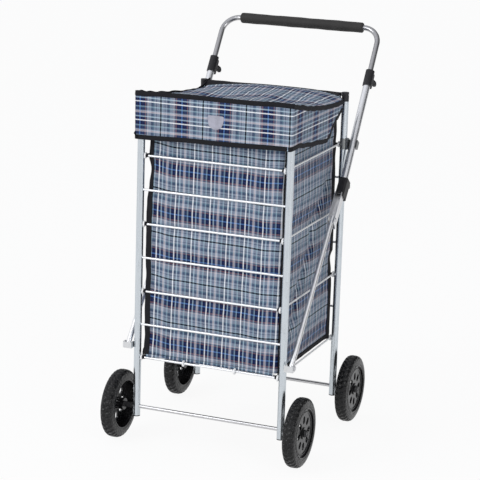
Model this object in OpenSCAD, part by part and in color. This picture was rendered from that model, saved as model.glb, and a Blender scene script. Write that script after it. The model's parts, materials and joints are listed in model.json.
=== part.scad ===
// Folding shopping trolley: two tube frames joined by wire links, a knee-braced
// push handle, four spoked wheels and a cloth bag with a flap lid.
// X runs across, the front faces -Y, +Z is up and the floor is z = 0.

/* [Frame] */
// Distance between the left and right leg axes
leg_spacing = 340; // [320:1:380]
// Distance between the front and rear leg axes
wheelbase = 334; // [310:1:360]
// Outer diameter of a leg tube
leg_d = 16; // [14:0.5:18]
// Wall of a leg tube
leg_wall = 1.5; // [1:0.1:2.5]
// Height of the lower leg ends
leg_bottom_z = 56; // [50:1:64]
// Height of the upper leg ends
leg_top_z = 738; // [711:1:744]
// Diameter of the cross rungs
rung_d = 5; // [4:0.1:6]
// Height of the lowest rung
rung_first_z = 190; // [182:1:196]
// Spacing of the rungs
rung_pitch = 75; // [72:0.5:77]
// Diameter of the side and base wires
wire_d = 4; // [3:0.1:5]
// Offset of the two base wires from the middle
base_wire_x = 60; // [40:1:90]

/* [Wheels] */
// Wheel diameter over the tyre
wheel_d = 152; // [142:1:160]
// Width of the tyre
tyre_w = 29; // [24:0.5:34]
// Radial depth of the tyre
tyre_h = 21; // [16:0.5:26]
// Gap between a leg and the tyre beside it
wheel_gap = 19.5; // [19:0.5:28]
// Axle diameter
axle_d = 8; // [6:0.5:10]
// Diameter of the wheel hub
hub_d = 26; // [22:0.5:32]
// Number of slots in the wheel disc
slot_count = 8; // [5:1:8]
// Length of a wheel disc slot
slot_l = 17; // [13:0.5:18]
// Width of a wheel disc slot
slot_w = 12; // [6:0.5:12]

/* [Handle] */
// Gap between a leg and the handle plane's tube
handle_gap = 4.5; // [4:0.1:6]
// Outer diameter of the upper handle tube
tube_d = 16; // [15:0.5:17]
// Wall of the handle tubes
tube_wall = 1.5; // [1.2:0.1:1.8]
// Diameter of the lower brace link
link_d = 11; // [9:0.5:12]
// Diameter of the sliding bow tube
bow_d = 12; // [11:0.1:12.5]
// Height of the brace bracket on the front legs
bracket_z = 218; // [211:1:231]
// Distance of the brace pin ahead of the front leg axis
bracket_y = 5; // [0:1:8]
// Length of the brace link between its pins
link_len = 356; // [349:1:362]
// Height of the handle catch on the rear legs
catch_z = 643; // [631:1:651]
// Distance of the handle tube behind the rear leg axis at the catch
catch_y = 5; // [3:1:12]
// Lean of the upper handle tube
tube_lean = 34; // [32:0.5:36]
// Distance from the handle catch to the grip along the tube
grip_reach = 287; // [280:1:320]
// Corner radius of the bow
bow_r = 38; // [30:1:45]
// Diameter of the foam grip
grip_d = 25; // [20:0.5:28]
// Half length of the foam grip
grip_half = 150; // [120:1:152]

/* [Bag and lid] */
// Thickness of a bag wall
bag_t = 2; // [1.5:0.1:2.5]
// Height of the upper bag edge
bag_top_z = 734; // [696:1:736]
// Thickness of the base board
board_t = 3; // [2:0.1:4]
// Height of the lid hinge rod
lid_z = 753; // [751:1:760]
// Length of the front flap
flap_h = 88; // [70:1:100]
// Thickness of the lid cloth at the flaps
flap_t = 1.2; // [0.8:0.1:1.4]
// Rise of the lid top in its middle
lid_rise = 8; // [4:0.5:14]

/* [Hidden] */
$fn = 40;
// Clearances
run_gap = 0.05; // running fit of a pin or shaft, each side
loose = 0.5; // gap between loose neighbours
through = 1; // overshoot of a cutter

// Frame
leg_x = leg_spacing / 2;
leg_r = leg_d / 2;
leg_out = leg_x + leg_r;
rung_count = 8; // the side wires hold every second one
rung_in = 3; // how far a rung reaches into a leg
wheel_r = wheel_d / 2;
track = leg_spacing + leg_d + 2 * wheel_gap + tyre_w; // between the wheel middles
tube_r = tube_d / 2;
handle_x = leg_out + handle_gap + tube_r;
link_r = link_d / 2;

// Handle linkage, measured from the front leg axis
pin_y = -bracket_y;
top_y = wheelbase + catch_y;
link_lean = atan2(top_y - pin_y, catch_z - bracket_z);
knee_up = norm([top_y - pin_y, catch_z - bracket_z]) - link_len; // from the knee to the catch
knee_y = pin_y + link_len * sin(link_lean);
knee_z = bracket_z + link_len * cos(link_lean);
grip_y = top_y + grip_reach * sin(tube_lean);
grip_z = catch_z + grip_reach * cos(tube_lean);

// The origin is under the middle of the whole trolley
y_f = (wheel_r - grip_y - grip_d / 2) / 2;
y_r = y_f + wheelbase;

// Wires
wire_r = wire_d / 2;
rung_r = rung_d / 2;
eye_r = rung_r + loose + wire_r;
wire_x = leg_x - leg_r - loose - wire_r;

// Knee
pin_d = 5;
pin_head_d = 10;
pin_head_t = 1.5;
strap_gap = 4.5; // room for the link's foot behind the strap
chan_t = 1.5;
chan_half = tube_r;
chan_front = 7;
chan_back = 14;
chan_low = 8;
chan_slant = 8;
chan_top = 66;
block_low = 60;
block_top = 104;
block_front = 4; // low enough for the link to swing past
block_back = 26;
block_out = 3;
lever_t = 4;
lever_w = 10;
lever_l = 34;
lever_pin_d = 3;
lever_barrel_d = 6;
lever_up = 5; // lever pin below the top of the block
lever_axis_y = block_back + lever_t;
ear_t = 2.5;

// Catch
collar_wall = 2;
collar_h = 24;
jaw_wall = 2;
jaw_lip = 3; // how far the jaw reaches past the tube axis
jaw_l = 18;
jaw_in = handle_x - tube_r - loose;

// Clamp
clamp_low = 143;
clamp_h = 38;
clamp_wall = 2;
clamp_lip = 8;
lobe_y = 7;
lobe_r = 8.5;
clamp_turn = 12;
screw_up = 20;
screw_d = 5;
screw_l = 12;
knob_d = 9;
knob_l = 10;
wing_l = 20;
wing_t = 4;
wing_h = 13;
bow_leg = 222; // length of a bow leg below the grip line

// Wheel
hub_w = tyre_w - 3;
bush_d = axle_d + 5;
bush_w = hub_w + 2;
cap_t = 5;
cap_d = 17;
disc_t = 4;
disc_in = 4; // how far the disc is set back from the outer side
bead_r = 1.6;
bead_out = 9; // from the rim to the bead on the disc
rim_t = 2.5;
rim_r = wheel_r - tyre_h;
slot_r = (rim_r - bead_out + hub_d / 2) / 2;
disc_face = tyre_w / 2 - disc_in;
washer_t = 2;

// Bag
bag_gap = 2;
bag_x = wire_x - wire_r - bag_gap * 2;
panel_y = rung_r + bag_gap;
rear_foot = 45; // free height that the base board sweeps
front_foot = 8;
board_y = 20;

// Lid
lid_out = leg_out + loose + flap_t;
lid_front = leg_r + 10;
hem_wall = 2;
lid_t = 2;
lid_lift = 14;
plug_h = 6;
rod_d = 5;
badge_w = 44;
badge_h = 34;
badge_t = 1;

// ---------- shared shapes ----------

// Rod along X between two x values
module rod_x(x0, x1, d) {
    translate([x0, 0, 0]) rotate([0, 90, 0]) cylinder(d = d, h = x1 - x0);
}

// Hollow tube along Z
module tube_z(d, wall, z0, z1) {
    translate([0, 0, z0]) difference() {
        cylinder(d = d, h = z1 - z0);
        translate([0, 0, -through]) cylinder(d = d - 2 * wall, h = z1 - z0 + 2 * through);
    }
}

// Places its children in the handle plane: +Z along a bar that leans back, +Y to the rear
module on_bar(side, y, z, lean) {
    translate([side * handle_x, y_f + y, z]) rotate([-lean, 0, 0]) children();
}

module on_link(side) { on_bar(side, pin_y, bracket_z, link_lean) children(); }
module on_knee(side) { on_bar(side, knee_y, knee_z, link_lean) children(); }
module on_tube(side) { on_bar(side, top_y, catch_z, tube_lean) children(); }

// Plate along X whose outline, drawn in the YZ plane, is given as children
module plate_x(x0, x1) {
    translate([x0, 0, 0]) rotate([90, 0, 90]) linear_extrude(x1 - x0) children();
}

function rung_z(i) = rung_first_z + i * rung_pitch;

// ---------- frame ----------

module leg(side, y) {
    color("silver") translate([side * leg_x, y, 0]) difference() {
        tube_z(leg_d, leg_wall, leg_bottom_z, leg_top_z);
        translate([0, 0, wheel_r]) rod_x(-leg_d, leg_d, axle_d);
        for (i = [0 : rung_count - 1])
            translate([0, 0, rung_z(i)])
                rod_x(min(0, -side * leg_d), max(0, -side * leg_d), rung_d);
    }
}

module rungs(y) {
    color("white") for (i = [0 : rung_count - 1])
        translate([0, y, rung_z(i)])
            rod_x(-leg_x + leg_r - rung_in, leg_x - leg_r + rung_in, rung_d);
}

module axle(y) {
    half = track / 2 + bush_w / 2 + cap_t - through;
    color("lightgray") translate([0, y, wheel_r]) rod_x(-half, half, axle_d);
}

// Caps on both axle ends and washers between leg and wheel
module axle_caps(y) {
    hub_face = track / 2 + bush_w / 2 + run_gap;
    color("dimgray") translate([0, y, wheel_r]) for (side = [-1, 1]) {
        difference() {
            rotate([0, side * 90, 0]) translate([0, 0, hub_face])
                cylinder(d1 = cap_d, d2 = cap_d - 5, h = cap_t);
            rod_x(-track, track, axle_d);
        }
        difference() {
            rotate([0, side * 90, 0]) translate([0, 0, leg_out])
                cylinder(d = bush_d, h = track / 2 - bush_w / 2 - run_gap - leg_out);
            rod_x(-track, track, axle_d);
        }
    }
}

// Plugs in both ends of a pair of legs. The upper ones have a cross hole, which
// holds the lid rod at the rear and stays empty at the front.
module leg_plugs(y) {
    inner = leg_d - 2 * leg_wall;
    color("black") for (side = [-1, 1]) translate([side * leg_x, y, 0]) {
        translate([0, 0, leg_bottom_z - washer_t]) cylinder(d = leg_d, h = washer_t);
        translate([0, 0, leg_bottom_z]) cylinder(d = inner, h = plug_h);
        translate([0, 0, leg_top_z - plug_h]) cylinder(d = inner, h = plug_h);
        difference() {
            translate([0, 0, leg_top_z]) cylinder(d = leg_d, h = lid_z + rod_d - leg_top_z);
            translate([0, 0, lid_z]) rod_x(-leg_d, leg_d, rod_d + 2 * run_gap);
        }
    }
}

// Closed eye around a rung, lying in the YZ plane
module eye() {
    rotate([0, 90, 0]) rotate_extrude() translate([eye_r, 0]) circle(r = wire_r);
}

// Wire from the front rung to the rear rung, with an eye on each
module link_wire(x, z) {
    translate([x, 0, z]) {
        translate([0, y_f, 0]) eye();
        translate([0, y_r, 0]) eye();
        translate([0, y_f + eye_r, 0]) rotate([-90, 0, 0])
            cylinder(r = wire_r, h = wheelbase - 2 * eye_r);
    }
}

module side_wires(i) {
    color("white") for (side = [-1, 1]) link_wire(side * wire_x, rung_z(i));
}

module base_wires() {
    color("white") for (side = [-1, 1]) link_wire(side * base_wire_x, rung_z(0));
}

// ---------- wheels ----------

module at_wheel(side, y) {
    translate([side * track / 2, y, wheel_r]) rotate([0, side * 90, 0]) children();
}

// Half section of the tyre: crowned tread, rounded shoulders, seat on the rim
module tyre_section() {
    half = tyre_w / 2;
    shoulder = half - 3;
    intersection() {
        translate([rim_r, -half]) square([tyre_h, tyre_w]);
        union() {
            translate([rim_r, -half]) square([tyre_h - shoulder, tyre_w]);
            translate([wheel_r - shoulder, 0]) circle(r = shoulder);
            translate([wheel_r - 2 * shoulder, -half]) square([shoulder * 1.3, tyre_w]);
        }
    }
}

module tyre(side, y) {
    color("#1c1c1e") at_wheel(side, y) rotate_extrude($fn = 72) tyre_section();
}

// Dished disc with slots, a rim flange and a hub
module rim(side, y) {
    color("black") at_wheel(side, y) difference() {
        rotate_extrude($fn = 72) {
            translate([rim_r - rim_t, -tyre_w / 2]) square([rim_t, tyre_w]);
            translate([hub_d / 2 - through, disc_face - disc_t])
                square([rim_r - hub_d / 2, disc_t]);
            translate([rim_r - bead_out, disc_face]) circle(r = bead_r);
            translate([bush_d / 2, -hub_w / 2]) square([(hub_d - bush_d) / 2, hub_w]);
        }
        for (i = [0 : slot_count - 1]) rotate([0, 0, i * 360 / slot_count])
            translate([slot_r, 0, -tyre_w]) {
                translate([-(slot_l - slot_w) / 2, -slot_w / 2, 0])
                    cube([slot_l - slot_w, slot_w, 2 * tyre_w]);
                for (end = [-1, 1]) translate([end * (slot_l - slot_w) / 2, 0, 0])
                    cylinder(d = slot_w, h = 2 * tyre_w);
            }
    }
}

module bush(side, y) {
    color("gray") at_wheel(side, y) difference() {
        cylinder(d = bush_d, h = bush_w, center = true);
        cylinder(d = axle_d + 2 * run_gap, h = 2 * bush_w, center = true);
    }
}

// ---------- brace and knee ----------

// Strap bent round the link's foot, with its inner leaf against the leg
module brace_bracket(side) {
    leaf_t = pin_head_t;
    leaf = link_r + 1.5;
    inner = leg_out;
    outer = handle_x + link_r + loose + pin_head_t;
    color("white") translate([0, y_f + pin_y, bracket_z]) mirror([side < 0 ? 1 : 0, 0, 0])
        difference() {
            union() {
                plate_x(inner, inner + leaf_t) bracket_outline(leaf);
                plate_x(outer - leaf_t, outer) bracket_outline(leaf);
                translate([inner, -leaf - strap_gap, -leaf])
                    cube([outer - inner, leaf_t, 2 * leaf]);
            }
            rod_x(0, track, pin_d);
        }
}

module bracket_outline(leaf) {
    translate([-leaf - strap_gap, -leaf]) square([leaf + strap_gap, 2 * leaf]);
    circle(r = leaf);
}

// Pins through the brackets and the feet of the links
module brace_pins() {
    outer = handle_x + link_r + loose + pin_head_t;
    color("lightgray") for (side = [-1, 1])
        translate([0, y_f + pin_y, bracket_z]) mirror([side < 0 ? 1 : 0, 0, 0]) {
            rod_x(leg_out, outer, pin_d);
            rod_x(outer, outer + pin_head_t, pin_head_d);
        }
}

module brace_link(side) {
    end = link_r + 1.5;
    color("silver") on_link(side) difference() {
        tube_z(link_d, tube_wall, -end, link_len + end);
        rod_x(-link_d, link_d, pin_d + 2 * run_gap);
        translate([0, 0, link_len]) rod_x(-link_d, link_d, pin_d + 2 * run_gap);
    }
}

// Channel, open to the front, with an oblique lower end
module knee_channel(side) {
    depth = chan_front + chan_back;
    color("silver") on_knee(side) difference() {
        translate([-chan_half, -chan_front, -chan_low - chan_slant])
            cube([2 * chan_half, depth, chan_top + chan_low + chan_slant]);
        translate([-chan_half + chan_t, -chan_front - through, -chan_top])
            cube([2 * (chan_half - chan_t), depth - chan_t + through, 3 * chan_top]);
        translate([0, -chan_front, -chan_low]) rotate([-atan(chan_slant / depth), 0, 0])
            translate([-chan_half - through, -depth, -chan_top])
                cube([2 * chan_half + 2 * through, 3 * depth, chan_top]);
        rod_x(-tube_d, tube_d, pin_d);
    }
}

module knee_pins() {
    color("lightgray") for (side = [-1, 1]) on_knee(side)
        mirror([side < 0 ? 1 : 0, 0, 0]) {
            rod_x(-chan_half, chan_half, pin_d);
            rod_x(chan_half, chan_half + pin_head_t, pin_head_d);
        }
}

// Washers that keep the link in the middle of its channel
module knee_washers() {
    gap = chan_half - chan_t - link_r - run_gap;
    color("white") for (side = [-1, 1]) on_knee(side) difference() {
        for (end = [-1, 1])
            translate([end * (chan_half - chan_t - gap / 2) - gap / 2, 0, 0])
                rod_x(0, gap, pin_head_d);
        rod_x(-tube_d, tube_d, pin_d);
    }
}

// Moulded block that joins the channel to the upper tube
module knee_block(side) {
    color("#222222") difference() {
        on_knee(side) mirror([side < 0 ? 1 : 0, 0, 0]) {
            difference() {
                block_body();
                translate([-chan_half, -chan_front, 0])
                    cube([2 * chan_half, chan_front + chan_back, chan_top]);
            }
            for (end = [-1, 1]) lever_ear(end);
        }
        on_tube(side) translate([0, 0, -2 * knee_up]) cylinder(d = tube_d, h = 2 * knee_up);
    }
}

module block_body() {
    h = block_top - block_low;
    corner = 5;
    translate([0, 0, block_low]) linear_extrude(h) hull() {
        for (y = [-block_front + corner, block_back - corner])
            translate([chan_half + block_out - corner, y]) circle(r = corner);
        for (y = [-block_front + through, block_back - through])
            translate([-chan_half + through, y]) circle(r = through);
    }
}

module lever_ear(end) {
    translate([end * (lever_w / 2 + loose + ear_t / 2) - ear_t / 2, 0, block_top - lever_up])
        difference() {
            plate_x(0, ear_t) {
                translate([block_back - through, -lever_up]) square([lever_t, 2 * lever_up]);
                translate([lever_axis_y, 0]) circle(r = lever_up);
            }
            translate([0, lever_axis_y, 0])
                rod_x(-through, ear_t + through, lever_pin_d);
        }
}

module lever_pins() {
    half = lever_w / 2 + loose + ear_t;
    color("lightgray") for (side = [-1, 1]) on_knee(side)
        translate([0, lever_axis_y, block_top - lever_up]) rod_x(-half, half, lever_pin_d);
}

// Ribbed finger lever that frees the knee
module knee_lever(side) {
    color("#303030") on_knee(side) mirror([side < 0 ? 1 : 0, 0, 0])
        translate([0, lever_axis_y, block_top - lever_up]) {
            difference() {
                union() {
                    rod_x(-lever_w / 2, lever_w / 2, lever_barrel_d);
                    translate([-lever_w / 2, -lever_t / 2 + 1, -lever_l])
                        cube([lever_w, lever_t, lever_l]);
                    for (i = [1 : 6]) translate([0, lever_t / 2 + 1, -i * lever_l / 7])
                        rod_x(-lever_w / 2, lever_w / 2, 2);
                }
                rod_x(-lever_w, lever_w, lever_pin_d + 2 * run_gap);
            }
        }
}

// ---------- upper handle ----------

module handle_tube(side) {
    foot = chan_top + loose - knee_up;
    color("silver") on_tube(side)
        tube_z(tube_d, tube_wall, foot, clamp_low + clamp_h - clamp_lip);
}

// Collar on the rear leg with a jaw that the handle tube drops into from the front
module handle_catch(side) {
    color("black") mirror([side < 0 ? 1 : 0, 0, 0]) difference() {
        union() {
            translate([leg_x, y_r, catch_z - collar_h / 2])
                cylinder(d = leg_d + 2 * collar_wall, h = collar_h);
            translate([0, y_r, catch_z])
                plate_x(leg_out, jaw_in) polygon([
                    [-leg_r, -collar_h / 2], [catch_y, -collar_h / 2],
                    [catch_y, collar_h / 2], [-leg_r, collar_h / 2]
                ]);
            on_tube(1) translate([0, 0, -jaw_l / 2]) jaw();
        }
        translate([leg_x, y_r, 0]) cylinder(d = leg_d, h = 2 * catch_z);
        on_tube(1) translate([0, 0, -catch_z]) cylinder(r = tube_r + loose, h = 2 * catch_z);
        on_tube(1) translate([-tube_r - loose, -catch_z, -catch_z])
            cube([tube_d + 2 * loose, catch_z, 2 * catch_z]);
        // open towards the bag, clear of the rung and the wire eye there
        translate([leg_x - leg_r + rung_in - leg_d, y_r - leg_d, catch_z - collar_h])
            cube([leg_d, 2 * leg_d, 2 * collar_h]);
    }
}

module jaw() {
    reach = tube_r + loose + jaw_wall;
    translate([leg_out - handle_x, -jaw_lip, 0])
        cube([handle_x + reach - leg_out, jaw_lip + reach, jaw_l]);
}

// Clamp on the upper tube's end; both are set the same way round
module clamp(side) {
    color("black") on_tube(side) rotate([0, 0, -clamp_turn]) difference() {
        union() {
            translate([0, 0, clamp_low]) cylinder(r = tube_r + clamp_wall, h = clamp_h);
            translate([-lobe_r, 0, clamp_low]) cube([2 * lobe_r, lobe_y, clamp_h - lobe_r]);
            translate([0, lobe_y, clamp_low]) cylinder(r = lobe_r, h = clamp_h - lobe_r);
            translate([0, lobe_y, clamp_low + clamp_h - lobe_r]) sphere(r = lobe_r);
        }
        translate([0, 0, clamp_low - through])
            cylinder(d = tube_d, h = clamp_h - clamp_lip + through);
        cylinder(d = bow_d + 2 * run_gap, h = clamp_low + 2 * clamp_h);
        translate([0, 0, clamp_low + screw_up]) rotate([-90, 0, 0])
            cylinder(d = screw_d + 2 * run_gap, h = 2 * lobe_y + 2 * lobe_r);
    }
}

// Screw with a wing knob
module clamp_screw(side) {
    tip = tube_r + run_gap;
    face = lobe_y + lobe_r + loose;
    color("#1a1a1a") on_tube(side) rotate([0, 0, -clamp_turn])
        translate([0, 0, clamp_low + screw_up]) rotate([-90, 0, 0]) {
            translate([0, 0, tip]) cylinder(d = screw_d, h = face - tip + through);
            translate([0, 0, face]) cylinder(d = knob_d, h = knob_l);
            translate([-wing_t / 2, -wing_h / 2, face + knob_l / 2])
                cube([wing_t, wing_h, wing_l - knob_l / 2 - wing_h / 2]);
            translate([-wing_t / 2, 0, face + wing_l - wing_h / 2]) rotate([0, 90, 0])
                cylinder(d = wing_h, h = wing_t);
        }
}

// Path solid of the bow, with round corners
module bow_path(d) {
    straight = handle_x - bow_r;
    for (side = [-1, 1]) {
        translate([side * handle_x, 0, -bow_leg]) cylinder(d = d, h = bow_leg - bow_r);
        translate([side * straight, 0, -bow_r]) rotate([90, 0, 0])
            rotate([0, 0, side > 0 ? 0 : 90])
                rotate_extrude(angle = 90) translate([bow_r, 0]) circle(d = d);
    }
    rod_x(-straight, straight, d);
}

module handle_bow() {
    color("lightgray") translate([0, y_f + grip_y, grip_z]) rotate([-tube_lean, 0, 0])
        difference() {
            bow_path(bow_d);
            for (side = [-1, 1]) translate([side * handle_x, 0, -bow_leg - through])
                cylinder(d = bow_d - 2 * tube_wall, h = bow_leg - bow_r);
        }
}

module foam_grip() {
    color("#2b2b2d") translate([0, y_f + grip_y, grip_z]) difference() {
        union() {
            rod_x(-grip_half + 2, grip_half - 2, grip_d);
            rod_x(-grip_half, grip_half, grip_d - 3);
        }
        rod_x(-handle_x, handle_x, bow_d);
    }
}

// ---------- bag ----------

module bag_front_panel() {
    z0 = rung_z(0) + front_foot;
    color("steelblue") translate([-bag_x, y_f + panel_y, z0])
        cube([2 * bag_x, bag_t, bag_top_z - z0]);
}

module bag_rear_panel() {
    z0 = rung_z(0) + rear_foot;
    color("steelblue") translate([-bag_x, y_r - panel_y - bag_t, z0])
        cube([2 * bag_x, bag_t, bag_top_z - z0]);
}

module bag_side(side) {
    z0 = rung_z(0) + front_foot;
    y0 = y_f + panel_y + bag_t + loose;
    y1 = y_r - panel_y - bag_t - loose;
    color("steelblue") translate([side * (bag_x - bag_t / 2) - bag_t / 2, y0, z0])
        cube([bag_t, y1 - y0, bag_top_z - z0]);
}

module base_board() {
    color("#30343c") translate([-bag_x, y_f + board_y, rung_z(0) + wire_r])
        cube([2 * bag_x, wheelbase - 2 * board_y, board_t]);
}

// ---------- lid ----------

module lid_rod() {
    half = leg_x + leg_r;
    color("gray") translate([0, y_r, lid_z]) rod_x(-half, half, rod_d);
}

// Lid: arched top that climbs to the front, a front flap, two side flaps and a hem
module lid() {
    run = wheelbase + lid_front;
    hem_r = rod_d / 2 + hem_wall;
    climb = atan(lid_lift / run);
    reach = run / cos(climb) + flap_t / 2;
    hem_x = leg_x - leg_r - loose;
    behind = norm([leg_r, rod_d]) + loose; // clears the rear plugs as the lid turns
    color("steelblue") translate([0, y_r, lid_z]) difference() {
        union() {
            rod_x(-hem_x, hem_x, 2 * hem_r);
            translate([-hem_x, -behind - through, hem_r - lid_t])
                cube([2 * hem_x, behind + through, lid_t]);
            translate([0, 0, hem_r - lid_t]) rotate([90 - climb, 0, 0]) {
                translate([0, 0, behind]) linear_extrude(reach - behind) lid_arch(false);
                translate([0, 0, behind]) linear_extrude(lid_t) lid_arch(true);
                translate([0, 0, reach - flap_t]) linear_extrude(flap_t) lid_arch(true);
            }
            translate([-lid_out, -run - flap_t, hem_r + lid_lift - flap_h])
                cube([2 * lid_out, flap_t, flap_h]);
            for (side = [-1, 1])
                plate_x(side * (lid_out - flap_t / 2) - flap_t / 2,
                    side * (lid_out - flap_t / 2) + flap_t / 2) side_flap(run, hem_r);
            translate([-badge_w / 2, -run - flap_t - badge_t, lid_lift - badge_h - flap_h / 4])
                cube([badge_w, badge_t + through / 2, badge_h]);
        }
        rod_x(-lid_out, lid_out, rod_d + 2 * run_gap);
    }
}

// Cross-section of the lid top: an arched sheet, or the same arch filled to its foot
module lid_arch(filled) {
    steps = 12;
    upper = [for (i = [0 : steps])
        let (u = 2 * i / steps - 1)
        [u * lid_out, lid_t + lid_rise * (1 - u * u)]];
    lower = filled
        ? [[lid_out, 0], [-lid_out, 0]]
        : [for (i = [steps : -1 : 0]) [upper[i].x, upper[i].y - lid_t]];
    polygon(concat(lower, upper));
}

// Outline of a side flap, its lower edge sweeping up to the hinge
module side_flap(run, hem_r) {
    low = hem_r + lid_lift - flap_h;
    top = hem_r - lid_t / 2;
    polygon([
        [-run, low], [-run * 0.42, low - 6], [-run * 0.2, low + flap_h * 0.3],
        [-run * 0.07, -hem_r], [-leg_r - 2, top], [-run - flap_t / 2, top + lid_lift],
        [-run - flap_t / 2, low]
    ]);
}

// ---------- nodes ----------

leg(-1, y_r);  // rear_leg_left
leg(1, y_r);  // rear_leg_right
rungs(y_r);  // rear_rungs
axle(y_r);  // rear_axle
leg_plugs(y_r);  // rear_leg_plugs
handle_catch(-1);  // handle_catch_left
handle_catch(1);  // handle_catch_right
axle_caps(y_r);  // rear_axle_caps
bag_rear_panel();
bag_side(-1);  // bag_side_left
bag_side(1);  // bag_side_right
tyre(-1, y_r);  // rear_left_tyre
rim(-1, y_r);  // rear_left_rim
bush(-1, y_r);  // rear_left_bush
tyre(1, y_r);  // rear_right_tyre
rim(1, y_r);  // rear_right_rim
bush(1, y_r);  // rear_right_bush
side_wires(6);  // side_wires_top
side_wires(4);  // side_wires_upper
side_wires(2);  // side_wires_lower
side_wires(0);  // side_wires_bottom
base_wires();
base_board();
leg(-1, y_f);  // front_leg_left
leg(1, y_f);  // front_leg_right
rungs(y_f);  // front_rungs
axle(y_f);  // front_axle
leg_plugs(y_f);  // front_leg_plugs
brace_bracket(-1);  // brace_bracket_left
brace_bracket(1);  // brace_bracket_right
brace_pins();
axle_caps(y_f);  // front_axle_caps
bag_front_panel();
tyre(-1, y_f);  // front_left_tyre
rim(-1, y_f);  // front_left_rim
bush(-1, y_f);  // front_left_bush
tyre(1, y_f);  // front_right_tyre
rim(1, y_f);  // front_right_rim
bush(1, y_f);  // front_right_bush
brace_link(-1);  // brace_link_left
brace_link(1);  // brace_link_right
knee_channel(-1);  // knee_channel_left
knee_channel(1);  // knee_channel_right
knee_pins();
knee_washers();
knee_block(-1);  // knee_block_left
knee_block(1);  // knee_block_right
lever_pins();
knee_lever(-1);  // knee_lever_left
knee_lever(1);  // knee_lever_right
handle_tube(-1);  // handle_tube_left
handle_tube(1);  // handle_tube_right
clamp(-1);  // clamp_left
clamp(1);  // clamp_right
clamp_screw(-1);  // clamp_screw_left
clamp_screw(1);  // clamp_screw_right
handle_bow();
foam_grip();
lid_rod();
lid();
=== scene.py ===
import json
import math

import bmesh
import bpy
import numpy as np
from mathutils import Matrix, Vector

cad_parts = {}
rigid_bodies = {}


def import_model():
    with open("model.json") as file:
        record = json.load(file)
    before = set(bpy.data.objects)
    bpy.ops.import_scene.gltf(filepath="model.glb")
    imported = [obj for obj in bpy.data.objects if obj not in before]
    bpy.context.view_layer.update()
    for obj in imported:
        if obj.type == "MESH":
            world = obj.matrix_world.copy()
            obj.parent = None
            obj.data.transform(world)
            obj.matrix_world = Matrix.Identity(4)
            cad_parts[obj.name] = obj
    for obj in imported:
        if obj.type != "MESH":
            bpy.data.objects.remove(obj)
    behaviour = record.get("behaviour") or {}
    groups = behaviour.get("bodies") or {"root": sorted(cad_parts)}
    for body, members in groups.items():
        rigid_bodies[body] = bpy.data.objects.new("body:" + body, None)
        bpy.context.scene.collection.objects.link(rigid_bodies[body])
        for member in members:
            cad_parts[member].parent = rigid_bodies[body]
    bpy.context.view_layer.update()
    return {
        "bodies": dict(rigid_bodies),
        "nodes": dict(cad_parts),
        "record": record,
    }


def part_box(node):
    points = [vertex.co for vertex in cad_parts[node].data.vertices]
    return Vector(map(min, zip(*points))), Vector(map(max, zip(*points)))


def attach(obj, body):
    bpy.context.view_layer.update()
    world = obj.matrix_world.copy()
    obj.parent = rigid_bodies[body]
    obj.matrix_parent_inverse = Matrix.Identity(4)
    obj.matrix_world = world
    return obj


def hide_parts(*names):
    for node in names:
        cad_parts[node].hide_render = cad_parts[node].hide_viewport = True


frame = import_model()
nodes = frame["nodes"]
bodies = frame["bodies"]
jointAt = {j["name"]: j for j in frame["record"]["behaviour"]["joints"]}
print("frame loaded:", len(nodes), "nodes")

view = {
    # places are measured from the middle between the front legs, at the lowest rung
    "position": (1.4902, -3.5767, 1.2504),
    "target": (-0.0038, 0.1670, 0.2463),
    "roll": 1.8,       # degrees
    "lens": 141.19,    # millimetres, on a sensor as wide as the next value
    "sensor": 36.0,
    "farEnd": 50.0,    # nothing further off is drawn
}


def addCamera(s, origin):
    data = bpy.data.cameras.new("camera")
    data.lens = s["lens"]
    data.sensor_width = s["sensor"]
    data.clip_end = s["farEnd"]
    cam = bpy.data.objects.new("camera", data)
    bpy.context.collection.objects.link(cam)
    stand = Vector(s["position"]) + origin
    forward = (Vector(s["target"]) + origin - stand).normalized()
    side = forward.cross(Vector((0, 0, 1))).normalized()
    up = side.cross(forward)
    a = math.radians(s["roll"])
    right = math.cos(a) * side + math.sin(a) * up
    top = math.cos(a) * up - math.sin(a) * side
    turn = Matrix((right, top, -forward)).transposed().to_4x4()
    cam.matrix_world = Matrix.Translation(stand) @ turn
    bpy.context.scene.camera = cam


# measures of the frame and of the cloth's solids, from which every piece takes its place
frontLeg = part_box("front_leg_left")
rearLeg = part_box("rear_leg_left")
frontY = (frontLeg[0][1] + frontLeg[1][1]) / 2
rearY = (rearLeg[0][1] + rearLeg[1][1]) / 2
legX = -(frontLeg[0][0] + frontLeg[1][0]) / 2
legR = (frontLeg[1][0] - frontLeg[0][0]) / 2
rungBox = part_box("front_rungs")
rungR = (rungBox[1][1] - rungBox[0][1]) / 2
rungLow = rungBox[0][2] + rungR
rungHigh = rungBox[1][2] - rungR
rungStep = (rungHigh - rungLow) / 7   # eight rungs
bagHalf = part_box("bag_side_right")[1][0]
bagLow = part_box("bag_side_left")[0][2]
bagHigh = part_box("bag_side_right")[1][2]
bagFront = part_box("bag_front_panel")[0][1]
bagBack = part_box("bag_rear_panel")[1][1]
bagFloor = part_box("base_board")
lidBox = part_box("lid")
hinge = Vector(jointAt["lid_open"]["pos_m"])
addCamera(view, Vector((0, frontY, rungLow)))
print("camera set")


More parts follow.
